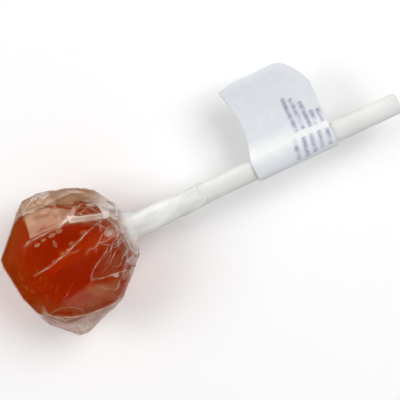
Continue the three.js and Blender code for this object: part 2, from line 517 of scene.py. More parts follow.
# Sharp creases as they run from above: points, half width, height, milkiness
FILM_CREASES = (
    (((9.8, 3.8), (5.1, 2), (1.7, 0.8), (-2.5, -0.3), (-6.3, -0.7)), 0.17, 0.18, 0.8),
    (((-5.7, 5.5), (-4, 6), (1.4, 6.1), (4.5, 6.4)), 0.24, 0.2, 0.95),
    (((4.5, 7.2), (6.7, 6.3), (9.3, 5.4), (11.6, 4.8)), 0.17, 0.2, 0.7),
    (((4.3, 5.9), (7.5, 4.8), (9.9, 3.9)), 0.17, 0.2, 0.7),
    (((11.2, 3.8), (11.8, 2.2), (12, 0.7), (11.4, -1), (11, -2.7)), 0.15, 0.2, 0.6),
    (((9.9, 3.8), (9.5, 2.9), (9.4, 1.8)), 0.16, 0.16, 0.6),
    (((9.5, -1.3), (8.7, -2.3), (5.5, -4.3), (4.2, -5.4), (3.9, -6.3)), 0.14, 0.16, 0.5),
    (((3.9, -6.3), (5.9, -6.9), (8.2, -7.3), (10.9, -7.9)), 0.18, 0.2, 0.65),
    (
        ((5.2, -1.1), (6.1, -0.5), (7, -0.8), (8, -0.2), (9.5, -0.5), (10.8, 0), (11.8, -0.2)),
        0.18, 0.2, 0.5,
    ),
    (((0.2, 0.6), (1.2, 0.2), (2.1, 0.5), (3.2, 0.1), (4.3, 0.4)), 0.15, 0.1, 0.25),
    (
        ((-8.4, -7.3), (-8.8, -8.5), (-8.2, -9.6), (-6.3, -10.6), (-0.8, -12.4), (5.8, -12.6),
         (7.8, -11.2)),
        0.2, 0.16, 0.9,
    ),
    (((5.4, 7), (6.2, 8), (7.8, 8.6), (9.7, 8.4), (11.6, 7.4)), 0.17, 0.2, 0.55),
    (((5.8, 6.8), (7.9, 7.2), (9.5, 7.5)), 0.15, 0.16, 0.45),
    (((9.8, 8), (11.3, 7.3), (12.2, 6), (12.6, 4.5)), 0.18, 0.2, 0.6),
    (((11.6, 4.4), (12.5, 3.4), (13.2, 3)), 0.2, 0.2, 0.6),
    (((11, 7), (12.1, 5.6), (13, 4.2)), 0.18, 0.18, 0.55),
    (((7.6, 9.7), (9.6, 9.3), (11.2, 8.2), (12.6, 6)), 0.17, 0.15, 0.5),
    (((-6.3, 11.4), (-3.5, 12.4), (-1, 12.9)), 0.16, 0.2, 0.5),
    (((-5.9, 12.4), (-3, 13.3), (0.5, 13.8)), 0.16, 0.2, 0.5),
    (((-4.5, 11.4), (-2.8, 11.9), (-1.6, 12.8)), 0.14, 0.16, 0.4),
    (((11.8, -0.2), (12.3, -3), (11.2, -5.5), (8.7, -8.3)), 0.16, 0.2, 0.45),
    (((-4.1, -15.5), (-3, -14.2), (-1.4, -13.2)), 0.26, 0.2, 0.9),
    (((-8, -9.1), (-5, -9), (-2.6, -9.6), (-1.4, -10.8), (-1.3, -11.9)), 0.13, 0.06, 0.3),
    (((3.5, -6.6), (1.1, -8.8), (-1.5, -11.3)), 0.11, 0.04, 0.12),
    (((4.1, -7.8), (5.2, -9.4), (6.9, -10.4)), 0.13, 0.08, 0.35),
    (((7.9, -8.8), (7.1, -10), (6.1, -10.4)), 0.13, 0.1, 0.5),
    (((-2, 13.8), (-0.4, 13.6), (1.3, 13.3), (1.4, 12.5)), 0.3, 0.25, 1),
    (((-2.3, 13.4), (-1.2, 14.1), (0.6, 13.9)), 0.3, 0.25, 1),
    (((-1.4, 13), (0, 13.2), (1.4, 13.7), (2.2, 13)), 0.28, 0.25, 1),
    (((0.2, 12.9), (1, 12.4), (2.2, 12.5)), 0.24, 0.2, 0.9),
    (((-6.6, 11), (-5, 11.8), (-3.4, 12)), 0.2, 0.22, 0.7),
    (((-5.2, 13), (-3.8, 13.6), (-2.4, 14.2)), 0.2, 0.22, 0.8),
)

# Fine scratches and hairs of light on the film, the light painted as milk: points, half width,
# height, milkiness
FILM_SCRATCHES = (
    (((-0.6, 11.2), (0.5, 10.6), (1.6, 10)), 0.1, 0.05, 0.5),
    (((1.6, 8.2), (2.3, 7.6), (2.6, 7.1)), 0.09, 0.05, 0.45),
    (((-2.8, 7.3), (-2.1, 7.3), (-1.6, 7.7)), 0.12, 0.06, 0.6),
    (((-1.2, -6.6), (-2.9, -7.4), (-4.3, -8.6)), 0.07, 0.03, 0.2),
    (((0.4, -5.2), (-1.6, -6.6), (-3, -8.2)), 0.07, 0.03, 0.2),
    (((-4.4, -3.4), (-5.8, -5.2), (-6.9, -7.4)), 0.07, 0.03, 0.18),
    (((3.2, -1.2), (2.4, -2.2), (1.9, -3.6)), 0.07, 0.03, 0.18),
)

# Long creases down the sides, underneath and over the far end: the way round each point from
# the stick's axis, the way it is turned about the axis (0 towards the flag, 90 up), and the
# same sizes as above
LONG_CREASES = (
    (((24, -95), (60, -88), (95, -100), (128, -96)), 0.18, 0.2, 0.6),
    (((24, -60), (50, -54), (80, -64), (98, -60)), 0.16, 0.18, 0.5),
    (((24, -130), (55, -137), (90, -127), (122, -140)), 0.18, 0.2, 0.6),
    (((24, -22), (48, -30), (72, -25), (100, -33)), 0.16, 0.2, 0.5),
    (((24, 215), (58, 222), (96, 214), (140, 226)), 0.15, 0.12, 0.45),
    (((24, -75), (44, -72), (58, -78)), 0.16, 0.2, 0.5),
    (((24, -112), (40, -116), (64, -110)), 0.16, 0.2, 0.5),
    (((24, -12), (45, -16), (70, -11)), 0.15, 0.14, 0.5),
    (((118, -30), (140, -44), (158, -80), (166, -130)), 0.15, 0.15, 0.45),
    (((112, -148), (135, -156), (150, -165)), 0.15, 0.12, 0.4),
    (((108, -14), (130, -20), (150, -30)), 0.15, 0.12, 0.4),
    (((96, -75), (118, -66), (142, -70)), 0.14, 0.14, 0.4),
)

# Small pockets of air under the film, shown by a painted highlight: middle, half length, half
# width, milkiness
FILM_POCKETS = (
    ((-3.3, 4.7), 0.6, 0.35, 0.3),
    ((-1.7, 5.1), 0.55, 0.3, 0.3),
    ((0.3, 5.2), 0.8, 0.3, 0.35),
    ((2.0, 5.4), 0.7, 0.45, 0.25),
    ((0.1, 3.4), 0.35, 0.8, 0.2),
    ((3.2, 2.1), 0.5, 0.35, 0.2),
    ((0.7, 1.1), 0.5, 0.25, 0.2),
    ((2.0, 1.2), 0.45, 0.25, 0.25),
    ((-1.5, 0.3), 0.5, 0.3, 0.15),
    ((6.4, 3.0), 0.7, 0.5, 0.12),
)

# How milky the film is: where it stands off the candy, more so by the flag and at the tips of
# its folds, in the slack, in the crumpled spots and pleats, and at the start of the neck, down
# the neck and along the tail. Areas no milkier than the last value fade out at their edges.
STANDING_MILK = 0.6
FLAG_SIDE_MILK = 0.14
FOLD_TIP_MILK = 0.15
FAR_SLACK_MILK = 0.62
NEAR_SLACK_MILK = 0.42
CRUMPLE_MILK = 0.4
PLEAT_MILK = 0.2
SHOULDER_MILK = 0.4
NECK_MILK = 0.42
TAIL_MILK = 0.92
FAINT_MILK = 0.15

# The sheet's waves, the closer together the larger the number; how many pleats and wrinkles
# there are all round the neck, and each wrinkle's depth and how far it is turned
WAVE_PITCHES = (17, 21, 26, 30, 35, 41)
WAVE_HEIGHT = 0.03
PLEAT_COUNTS = (7, 11, 17, 26)
PLEAT_HEIGHT = 0.14
NECK_WRINKLES = ((3, 0.16, 0.4), (7, 0.07, 1.3), (12, 0.04, 2.2))

# Painted tints of the milky film: the candy's amber seen through the haze, and the darker brown
# past its outline that stands for the candy's shade
PAINTED_AMBER_IN_HAZE = (0.80, 0.55, 0.28)
PAINTED_BROWN_PAST_CANDY = (0.325, 0.163, 0.088)
# A painted rosy cast: the candy's red seen through the haze
PAINTED_ROSY_HAZE = (0.80, 0.62, 0.57)
FILM_PALE = (0.745, 0.745, 0.735)
FILM_LAYERS = ("milk", "warm", "rosy", "pale")


def film_planes():
    """The flat parts of a skin drawn over the candy and its slack folds: facings and reaches."""
    bm = faceted_block(FILM_CLEARANCE)
    for ends, side, levels in SLACK_FOLDS:
        for x in ends:
            for z in levels:
                bm.verts.new((x, side, z))
    bmesh.ops.translate(bm, verts=bm.verts, vec=-candy_centre)
    hull = bmesh.ops.convex_hull(bm, input=bm.verts[:])
    planes = set()
    for face in (g for g in hull["geom"] if isinstance(g, bmesh.types.BMFace)):
        face.normal_update()
        facing = face.normal
        reach = facing.dot(face.verts[0].co)
        if reach < 0:
            facing, reach = -facing, -reach
        planes.add((*(round(part, 3) for part in facing), round(reach, 2)))
    bm.free()
    return np.array(sorted(planes))


def smooth_reach(planes, ways):
    """How far a softened body with these flat parts reaches in each way from its centre."""
    towards = np.maximum(ways @ planes[:, :3].T / planes[:, 3], 0)
    return (towards**EDGE_SHARPNESS).sum(1) ** (-1 / EDGE_SHARPNESS)


def smoothstep(x, low, high):
    """0 below low and 1 above high, smooth between; the other way round if high is lower."""
    t = np.clip((x - low) / (high - low), 0, 1)
    return t * t * (3 - 2 * t)


def fading(off, width):
    """1 on a line, and less the further off it."""
    return np.exp(-((off / width) ** 2))


def span_distance(spots, a, b):
    """Distance from spots in plan to the line from a to b."""
    way = np.subtract(b, a)
    share = np.clip(((spots - a) @ way) / (way @ way), 0, 1)
    return np.hypot(*(spots - a - share[:, None] * way).T)


def depth_inside(spots, outline):
    """How deep spots lie inside an outline, and below 0 outside it."""
    inside = np.zeros(len(spots), bool)
    nearest = np.full(len(spots), 1e9)
    for a, b in zip(outline, outline[1:] + outline[:1]):
        nearest = np.minimum(nearest, span_distance(spots, a, b))
        if a[1] != b[1]:
            crosses = (spots[:, 1] > min(a[1], b[1])) & (spots[:, 1] <= max(a[1], b[1]))
            x = a[0] + (spots[:, 1] - a[1]) * (b[0] - a[0]) / (b[1] - a[1])
            inside ^= crosses & (spots[:, 0] < x)
    return np.where(inside, nearest, -nearest)


def skin_way(round_angle, turned):
    """The way from the candy's centre that is given by two angles in degrees."""
    a, t = math.radians(round_angle), math.radians(turned)
    return Vector((math.cos(a), math.sin(a) * math.cos(t), math.sin(a) * math.sin(t)))


def arc_distance(ways, a, b):
    """How far ways lie from the arc between two of them, on a ball as wide as the candy."""
    side = a.cross(b).normalized()
    along = np.arctan2(ways @ np.array(side.cross(a)), ways @ np.array(a))
    off = np.arcsin(np.clip(ways @ np.array(side), -1, 1))
    past = np.maximum(np.maximum(-along, along - a.angle(b)), 0)
    return np.hypot(off, past) * CANDY_EDGE_REACH


def line_distance(distance, spots, points):
    """Distance from spots to the nearest span of a line through points."""
    return np.min([distance(spots, a, b) for a, b in zip(points, points[1:])], axis=0)


skin = bmesh.new()
bmesh.ops.create_grid(skin, x_segments=FILM_ROUND, y_segments=FILM_RINGS, size=0.5)
laid_out = np.array([v.co for v in skin.verts])
# Finer over the shown side than under it
turn = (laid_out[:, 0] + 0.5) * 2 * math.pi
turn += FINER_ABOVE * (np.cos(turn) - 1)
ring = np.rint((laid_out[:, 1] + 0.5) * FILM_RINGS)

on_candy = ring >= NECK_RINGS
from_neck = np.clip((ring - NECK_RINGS) / (FILM_RINGS - NECK_RINGS), 0, 1)
angle = NECK_ANGLE + (math.pi - NECK_ANGLE) * from_neck
ways = np.stack([np.cos(angle), np.sin(angle) * np.cos(turn), np.sin(angle) * np.sin(turn)], 1)

planes = film_planes()
reach = smooth_reach(planes, ways)

# The areas and creases are laid on the shown side, and again turned half round on the underside.
# They fade out where the two meet, a little below the widest level.
plan = (reach[:, None] * ways + np.array(candy_centre))[:, :2]
plan[:, 1] *= np.where(ways[:, 2] < MEETING_LEVEL, -1, 1)
laid_on = smoothstep(np.abs(ways[:, 2] - MEETING_LEVEL), 0, 0.18)
# How far the film lies past the candy's own outline
past_candy = np.max([
    (plan - candy_centre.xy) @ facing.xy - reach
    for facing, reach in candy_facets()
    if abs(facing.z) < 0.01 and facing.x < 0.9
], axis=0)
near_flag = smoothstep(plan[:, 1], -6, 6)
# The haze of the slack film starts raggedly a little inside the candy's outline
ragged = np.sin(3 * ways @ (9, 4, 2) + 2 * np.sin(ways @ (3, 8, 11)))
ragged += np.sin(ways @ (5, -17, 23))
ragged = np.maximum(0, 0.45 * ragged) * smoothstep(np.abs(plan[:, 0] - 3.5), 7, 5) * near_flag
over_candy = smoothstep(past_candy + ragged, 0.1, -0.5)
# Film drawn tight over the upright facets and over the shoulder away from the flag stays clear
leaning = np.abs(planes[np.argmax(ways @ planes[:, :3].T / planes[:, 3], axis=1), 2])
tight = smoothstep(leaning, 0.12, 0.02) * smoothstep(past_candy, 1, 0.5)
shoulder = smoothstep(plan[:, 0], 5, 7) * (1 - near_flag) * smoothstep(past_candy, 0.9, 0.4)
standing = (1 - over_candy) * (1 - np.maximum(tight, shoulder))
milk = STANDING_MILK * standing + FOLD_TIP_MILK * smoothstep(past_candy, 0.3, 1.8)
# The milky film is painted with the candy's colour seen through it: amber over the candy, and a
# warm brown in the slack film past its outline that also stands for the candy's shade
warm = smoothstep(past_candy, -1.1, -0.4)
warm *= 1 - 0.24 * (1 - near_flag) * smoothstep(past_candy, 1.2, 3)
far_slack, near_slack = (
    over_candy * laid_on * smoothstep(depth_inside(plan, outline), -0.1, 0.2)
    for outline in (FAR_SLACK, NEAR_SLACK)
)
milk += FAR_SLACK_MILK * far_slack + NEAR_SLACK_MILK * near_slack
milk += FLAG_SIDE_MILK * near_flag * standing * smoothstep(ways[:, 2], 0.05, 0.2)
warm = np.maximum(warm, 0.75 * far_slack)
lift = np.zeros(len(ways))
for outline, milkiness, stand_off in FILM_AREAS:
    depth = depth_inside(plan, outline)
    # Milky areas end at a sharp fold with a bright border, and faint ones fade out
    sharp = milkiness > FAINT_MILK
    border = 0.4 * sharp * fading(depth, 0.2)
    inside = smoothstep(depth, -0.06, 0.14) if sharp else smoothstep(depth, -0.7, 0.7)
    milk += laid_on * milkiness * inside * (0.9 + border)
    lift += laid_on * stand_off * smoothstep(depth, -0.1, 0.5)
# The film rises a little towards each crease, and is milkier beside it: partly the whiteness of
# folded film, partly a painted glint
for points, half_width, height, milkiness in FILM_CREASES:
    off = line_distance(span_distance, plan, points)
    lift += laid_on * 0.8 * height * fading(off, 2 * half_width)
    milk += laid_on * 0.16 * milkiness * fading(off, 1.5 * half_width)
for points, half_width, height, milkiness in LONG_CREASES:
    off = line_distance(arc_distance, ways, [skin_way(*point) for point in points])
    lift += 0.5 * height * fading(off, 2 * half_width)
    milk += 0.16 * milkiness * fading(off, 1.5 * half_width)
# A pocket of air gets a painted highlight, brightest along its border
for (x, y), half_length, half_width, milkiness in FILM_POCKETS:
    off = np.hypot((plan[:, 0] - x) / half_length, (plan[:, 1] - y) / half_width)
    bright = 0.5 + 0.5 * smoothstep(off, 0.3, 0.9)
    milk += laid_on * milkiness * smoothstep(off, 1.15, 0.75) * bright
for points, half_width in FILM_GROOVES:
    off = line_distance(span_distance, plan, points)
    wavering = 1 + 0.4 * np.sin(5 * plan[:, 0] + 2 * np.sin(4 * plan[:, 1]))
    dip = laid_on * fading(off, half_width * wavering)
    milk += dip * (0.35 * (1 - over_candy) - 0.7 * milk * over_candy)
    lift -= 0.12 * dip
    # Painted shade: the milk left in a groove is tinted towards the dark brown
    warm += 0.8 * dip
# Milky film over the candy and the near slack have a painted rosy cast, which stands for the
# candy's red seen through the haze
rosy = 0.75 * smoothstep(milk, 0.15, 0.5) * smoothstep(past_candy, -0.4, -1.1) * (1 - far_slack)
rosy = np.maximum(rosy, 0.5 * (1 - near_flag) * smoothstep(past_candy, -1.1, -0.4))
pale = smoothstep(angle, math.radians(52), math.radians(26))
for outline in FILM_CRUMPLES:
    crumpled = smoothstep(depth_inside(plan, outline), -0.3, 0.4)
    crumpled *= smoothstep(ways[:, 2], 0.08, 0.2)
    crumpled *= 1 - 0.75 * np.abs(np.sin(4.5 * plan[:, 1] + 2 * np.sin(2.5 * plan[:, 0])))
    milk += CRUMPLE_MILK * crumpled
    pale = np.maximum(pale, crumpled)

# Shallow waves in the sheet, calm in some parts and stronger in others
draws = random.Random(11)
waves = np.zeros(len(ways))
for pitch in WAVE_PITCHES:
    heading = Vector((draws.gauss(0, 1), draws.gauss(0, 1), draws.gauss(0, 1))).normalized()
    waves += np.sin(pitch * ways @ np.array(heading) + draws.uniform(0, 6)) / 2
lift += WAVE_HEIGHT * waves * np.abs(waves) * laid_on

# Pleats that run out of the neck over the candy's shoulder
fade = np.exp(-(angle - NECK_ANGLE) / math.radians(13)) * on_candy
for count in PLEAT_COUNTS:
    phase = draws.uniform(0, math.pi)
    pleat = (1 - np.abs(np.sin(count * turn / 2 + phase + 0.6 * np.sin(angle * 3)))) ** 4
    lift += PLEAT_HEIGHT * fade * pleat
    milk += PLEAT_MILK * fade * pleat
near_neck = np.exp(-(angle - NECK_ANGLE) / np.radians(6.5 + 3 * np.cos(turn)))
milk += SHOULDER_MILK * near_neck * on_candy

spots = (reach + lift)[:, None] * ways + np.array(candy_centre)

# Neck and tail: from the last ring on the candy down to the stick and along it
last = on_candy & (ring == NECK_RINGS)
order = np.argsort(turn[last])[:-1]
rim_turn = turn[last][order]
rim_spots = spots[last][order]
rim_x, rim_reach = (
    np.interp(turn, rim_turn, values, period=2 * math.pi)
    for values in (rim_spots[:, 0], np.hypot(rim_spots[:, 1], rim_spots[:, 2]))
)
down = np.clip((NECK_RINGS - ring) / (NECK_RINGS - TUCKED_RINGS), 0, 1)
# The sheet's corner makes a tip at one side, and the rest of its end is ragged
tail_tip = (
    TAIL_END
    + TAIL_CORNER_LENGTH * np.maximum(np.cos(turn + TAIL_CORNER_TURNED), 0) ** 6
    + 0.5 * np.sin(3 * turn + 1)
    + 0.3 * np.sin(7 * turn)
)
along = rim_x + (tail_tip - rim_x) * down**1.15
close = np.clip((along - rim_x) / (NECK_END - rim_x), 0, 1)
steepness = NECK_STEEPNESS - 2 * np.cos(turn)
twist = turn + NECK_TWIST * (along - rim_x)
wrinkle = sum(
    depth * (1 - np.abs(np.sin(count * twist / 2 + offset))) ** 2
    for count, depth, offset in NECK_WRINKLES
)
loose = TAIL_SLACK * (1 - np.clip((along - NECK_END) / (TAIL_END - NECK_END), 0, 1))
radius = (
    TAIL_RADIUS
    + (rim_reach - TAIL_RADIUS) * (1 - close) ** steepness
    + loose * smoothstep(close, 0.2, 1) * (0.6 - 0.4 * np.cos(turn))
    + wrinkle * smoothstep(close, 0, 0.5)
)
# The sheet's end is tucked in and closed to a point inside the stick
tucked = ring < TUCKED_RINGS
radius = np.where(tucked, TUCKED_RADIUS * ring / TUCKED_RINGS, radius)
along = np.where(tucked, along - TUCKED_DEPTH, along)
in_neck = ~on_candy
spots[in_neck] = np.stack([along, radius * np.cos(turn), radius * np.sin(turn)], 1)[in_neck]
gathered = NECK_MILK + (TAIL_MILK - NECK_MILK) * smoothstep(close, 0, 0.35)
milk = np.where(in_neck, gathered + 0.3 * wrinkle, milk)
pale = np.where(in_neck, 0.7 + 0.3 * smoothstep(close, 0, 0.3), 0.7 * pale)

for name, values in zip(FILM_LAYERS, (milk, warm, rosy, pale)):
    layer = skin.verts.layers.float.new(name)
    for vert, value in zip(skin.verts, np.clip(values, 0, 1)):
        vert[layer] = value
for vert, spot in zip(skin.verts, spots):
    vert.co = spot
# The sheet's two long edges meet along a line, and each short edge closes to a point
bmesh.ops.remove_doubles(skin, verts=skin.verts, dist=1e-5)
bmesh.ops.recalc_face_normals(skin, faces=skin.faces[:])
film = finished(skin, "film_wrapper")


def clear_film():
    finish = Finish("clear_film")
    place = finish.place()
    milk, warm, rosy, pale = (
        finish.node("Attribute", {"attribute_name": name}, output="Fac") for name in FILM_LAYERS
    )
    crumple = finish.node(
        "TexNoise", values={"Vector": place, "Scale": 500, "Detail": 3, "Roughness": 0.55}
    )
    drawn_out = finish.place(scale=(2.2, 1, 1))
    patches = finish.node(
        "TexNoise", values={"Vector": drawn_out, "Scale": 330, "Detail": 3, "Distortion": 0.4}
    )
    crumpled = finish.node(
        "Bump", values={"Height": crumple, "Strength": 0.15, "Distance": 0.2 * MM}
    )
    see_through = finish.node("BsdfTransparent", values={"Color": (1, 1, 1)})
    gloss = finish.node(
        "BsdfAnisotropic", values={"Color": (1, 1, 1), "Roughness": 0.2, "Normal": crumpled}
    )
    edge_on = finish.node("LayerWeight", values={"Blend": 0.5}, output="Facing")
    shine = edge_on**4 * 0.012 + 0.0015
    clear = finish.node("MixShader", values={0: shine, 1: see_through, 2: gloss})
    # The tint is painted: the candy's amber and shade seen through the haze, then its red as a
    # rosy cast, turning pale in the neck, tail and crumpled spots
    tint = finish.mix(warm, PAINTED_AMBER_IN_HAZE, PAINTED_BROWN_PAST_CANDY)
    tint = finish.mix(rosy, tint, PAINTED_ROSY_HAZE)
    tint = finish.mix(pale, tint, FILM_PALE)
    milky = finish.node(
        "BsdfPrincipled",
        values={
            "Base Color": tint,
            "Roughness": 0.42,
            "Specular IOR Level": 0.05,
            "Normal": crumpled,
        },
    )
    # Patchy over the candy, more even in the gathered neck and tail
    patchy = patches.step(0.25, 0.75) * 0.7 - 0.35
    uneven = milk * (1 + patchy * (1 - pale * 0.65))
    return finish.show(finish.node("MixShader", values={0: uneven, 1: clear, 2: milky}))


film.data.materials.append(clear_film())
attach(film, "root")
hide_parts("wrapper")


# ---- Creases in the film
# The sharpest creases of the film, each pinched up into a thin ridge where the sheet was pulled
# tight towards the neck.

CREASE_STEPS = 14
CREASE_STAND_OFF = 0.1
CREASE_DEPTH = 0.1
CREASE_LEAST_HEIGHT = 0.05
CREASE_LEAST_SHARE = 0.02
RIDGE_MILK_SHARES = (0.5, 1, 0.5, 0)
# The ridges carry the film's painted rosy cast
RIDGE_ROSY = 0.6
# Towards the neck the ridges turn from rosy to white
RIDGE_PALE_FROM = 8
RIDGE_PALE_RUN = 5
WRINKLES = 44
WRINKLE_POINTS = 4
WRINKLE_STEPS = 8
WRINKLE_HEIGHT = 0.12


def film_level(x, y):
    """Height of the film's shown side over a point in plan."""
    x -= CANDY_END_SHIFT
    y -= CANDY_SIDE_SHIFT
    over = planes[planes[:, 2] > 0.05]
    return float(np.min((over[:, 3] - over[:, 0] * x - over[:, 1] * y) / over[:, 2]))


def smooth_line(points, steps=CREASE_STEPS):
    """A curve through the points of a crease."""
    ends = [points[0], *points, points[-1]]
    for p, q, r, t in zip(ends, ends[1:], ends[2:], ends[3:]):
        for step in range(steps):
            u = step / steps
            yield tuple(
                0.5 * (2 * b + (c - a) * u + (2 * a - 5 * b + 4 * c - d) * u * u
                       + (3 * b - a - 3 * c + d) * u**3)
                for a, b, c, d in zip(p, q, r, t)
            )
    yield points[-1]


def laid_on_film(points, steps=CREASE_STEPS):
    """A curve on the film through points that are given by two angles each."""
    marks = np.array([skin_way(*point) for point in smooth_line(points, steps)])
    spots = smooth_reach(planes, marks)[:, None] * marks + np.array(candy_centre)
    return [Vector(spot) for spot in spots]


ridges = bmesh.new()
ridge_milk, ridge_rosy, ridge_pale = (
    ridges.verts.layers.float.new(name) for name in ("milk", "rosy", "pale")
)
lines = [
    ([Vector((x, y, film_level(x, y))) for x, y in smooth_line(points)], *sizes)
    for points, *sizes in FILM_CREASES + FILM_SCRATCHES
]
lines += [(laid_on_film(points), *sizes) for points, *sizes in LONG_CREASES]
# Fine wrinkles, gathered all round the neck
for _ in range(WRINKLES):
    turned = draws.uniform(0, 360)
    round_angle = draws.uniform(25, 34)
    run = draws.uniform(4, 12)
    points = []
    for _ in range(WRINKLE_POINTS):
        points.append((round_angle, turned))
        round_angle += run * draws.uniform(0.6, 1.2)
        turned += draws.uniform(-9, 9)
    half_width = draws.uniform(0.07, 0.12)
    milkiness = draws.uniform(0.4, 0.8)
    lines.append((laid_on_film(points, WRINKLE_STEPS), half_width, WRINKLE_HEIGHT, milkiness))

for line, half_width, height, milkiness in lines:
    # Each crease is a narrow pleat with a thin ridge along either edge
    for edge in (-1, 1):
        rings = []
        waver = draws.uniform(0, 6)
        last_index = len(line) - 1
        for index, spot in enumerate(line):
            share = index / last_index
            forward = (line[min(index + 1, last_index)] - line[max(index - 1, 0)]).normalized()
            out = (spot - candy_centre).normalized()
            aside = forward.cross(out).normalized()
            # Full in its middle, thin at both ends, and uneven on the way
            rise = math.sin(math.pi * min(1, share * 3 + CREASE_LEAST_SHARE) / 2)
            fall = min(1, (1 - share) * 5 + CREASE_LEAST_SHARE)
            full = max(rise * fall, CREASE_LEAST_SHARE)
            full *= 0.72 + 0.28 * math.sin(index * 0.9 + waver) * math.sin(index * 0.37 + waver)
            gap = half_width * full * math.sin(index * 0.23 + 2 * waver) ** 2
            wander = 0.05 * math.sin(index * 1.3 + 3 * waver) * full
            base = spot + out * CREASE_STAND_OFF + aside * (edge * gap + wander)
            width = 0.42 * half_width * (0.4 + 0.6 * full)
            rings.append([
                ridges.verts.new(base + aside * width),
                ridges.verts.new(base + out * (CREASE_LEAST_HEIGHT + 0.8 * height * full)),
                ridges.verts.new(base - aside * width),
                ridges.verts.new(base - out * CREASE_DEPTH),
            ])
            # A ridge's milk is partly the whiteness of the pinched film and partly a painted
            # glint, brighter in spots along it
            bright = 0.6 + 0.4 * math.sin(index * 0.53 + waver)
            white = max(0, min(1, (spot.x - RIDGE_PALE_FROM) / RIDGE_PALE_RUN))
            for vert, milk_share in zip(rings[-1], RIDGE_MILK_SHARES):
                vert[ridge_milk] = milkiness * milk_share * (0.3 + 0.7 * full) * bright
                vert[ridge_rosy] = RIDGE_ROSY
                vert[ridge_pale] = white
        for one, other in zip(rings, rings[1:]):
            for corner, after in enumerate((1, 2, 3, 0)):
                ridges.faces.new((one[corner], one[after], other[after], other[corner]))
        ridges.faces.new(rings[0])
        ridges.faces.new(rings[-1])
bmesh.ops.recalc_face_normals(ridges, faces=ridges.faces[:])
creases = finished(ridges, "film_creases")
creases.data.materials.append(film.data.materials[0])
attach(creases, "root")


# ---- Label
# A strip of thin white paper, wound round the stick with its two ends stuck together as a
# flag. The flag's far edge curls up and one corner is cut away. It carries rows of short bars.

LABEL_START = 42.6
LABEL_WIDTH = 18
LABEL_WRAP_RADIUS = 2.7
INNER_TURN_RADII = (2.28, 2.42, 2.56)
INNER_TURN_WIDTH = 17.7
PAPER_THICKNESS = 0.1
LABEL_STEPS_ALONG = 60
LABEL_STEPS_ROUND = 220
FLAG_REACH = 18.35
FLAG_LEVEL = -0.3
FLAG_LAYER = 0.16
FLAG_CURL = 2
FLAG_WAVE = 0.22
FLAG_ROLL = 0.6
FLAG_ROLL_WIDTH = 2
FLAG_BOW = 1.3
FLAG_BOW_FROM = 2
FLAG_BOW_RUN = 15
WORN_CORNER = {"length": 3.2, "depth": 0.7}
CUT_CORNER = {"start": 54.2, "length": 6.4, "depth": 6.2, "curve": 2.4}

# The layers leave the stick at this angle, and are stuck together from this far out; of the
# strip's whole length, each layer has these shares in the flag and in its root
LEAVE_ANGLE = math.radians(50)
STUCK_FROM = 5.4
ROOT_FROM = 2.5
ROOT_PULL_BY_STICK = 1.5
ROOT_PULL_BY_FLAG = 1.7
FLAG_SHARE = 0.3
ROOT_SHARE = 0.1


def flag_far_edge(x):
    """How far the flag reaches at x: one corner worn round, the other cut away in a curve."""
    worn = max(0, (LABEL_START + WORN_CORNER["length"] - x) / WORN_CORNER["length"]) ** 2
    cut = max(0, (x - CUT_CORNER["start"]) / CUT_CORNER["length"]) ** CUT_CORNER["curve"]
    return FLAG_REACH - WORN_CORNER["depth"] * worn - CUT_CORNER["depth"] * cut


def flag_height(x, y):
    """Height of the flag: level by the stick, a little wavy, curling up and rolled at the edge."""
    out = max(0, y - ROOT_FROM) / (FLAG_REACH - ROOT_FROM)
    wave = FLAG_WAVE * math.sin(0.33 * x + 0.5) * math.sin(0.3 * y) * out
    roll = max(0, (y - flag_far_edge(x) + FLAG_ROLL_WIDTH) / FLAG_ROLL_WIDTH) ** 2
    return FLAG_LEVEL + FLAG_CURL * out**3 + wave - FLAG_ROLL * roll


def flag_root(share, side):
    """The line of one layer from the stick, which it leaves at a tangent, to the stuck flag."""
    spot = Vector((math.cos(LEAVE_ANGLE), math.sin(LEAVE_ANGLE))) * LABEL_WRAP_RADIUS
    tangent = Vector((math.sin(LEAVE_ANGLE), -math.cos(LEAVE_ANGLE)))
    pulls = (
        spot,
        spot + ROOT_PULL_BY_STICK * tangent,
        Vector((STUCK_FROM - ROOT_PULL_BY_FLAG, 0)),
        Vector((STUCK_FROM, 0)),
    )
    weights = (
        (1 - share) ** 3,
        3 * share * (1 - share) ** 2,
        3 * share**2 * (1 - share),
        share**3,
    )
    y, z = sum((weight * pull for weight, pull in zip(weights, pulls)), Vector((0, 0)))
    return y, z * side + share**2 * FLAG_LEVEL


def label_point(across, around):
    """A point of the strip: out of the flag's top layer, round the stick and back below it."""
    x = LABEL_START + LABEL_WIDTH * across
    side = 1 if around < 0.5 else -1
    from_end = min(around, 1 - around)
    off_stick = FLAG_SHARE + ROOT_SHARE
    if from_end < off_stick:
        if from_end < FLAG_SHARE:
            y = STUCK_FROM + (flag_far_edge(x) - STUCK_FROM) * (1 - from_end / FLAG_SHARE)
            z = flag_height(x, y)
        else:
            y, z = flag_root(1 - (from_end - FLAG_SHARE) / ROOT_SHARE, side)
            z += (flag_height(x, STUCK_FROM) - FLAG_LEVEL) * smoothstep(y, ROOT_FROM, STUCK_FROM)
        bow = FLAG_BOW * math.sin(math.pi * min(1, max(0, y - FLAG_BOW_FROM) / FLAG_BOW_RUN))
        return x + bow * (1 - across) ** 2, y, z + side * FLAG_LAYER / 2
    turned = (around - off_stick) / (1 - 2 * off_stick)
    angle = LEAVE_ANGLE + turned * (2 * math.pi - 2 * LEAVE_ANGLE)
    return x, LABEL_WRAP_RADIUS * math.cos(angle), LABEL_WRAP_RADIUS * math.sin(angle)


label_mesh = bmesh.new()
bmesh.ops.create_grid(
    label_mesh, x_segments=LABEL_STEPS_ALONG, y_segments=LABEL_STEPS_ROUND, size=0.5
)
for vert in label_mesh.verts:
    vert.co = label_point(vert.co.x + 0.5, vert.co.y + 0.5)
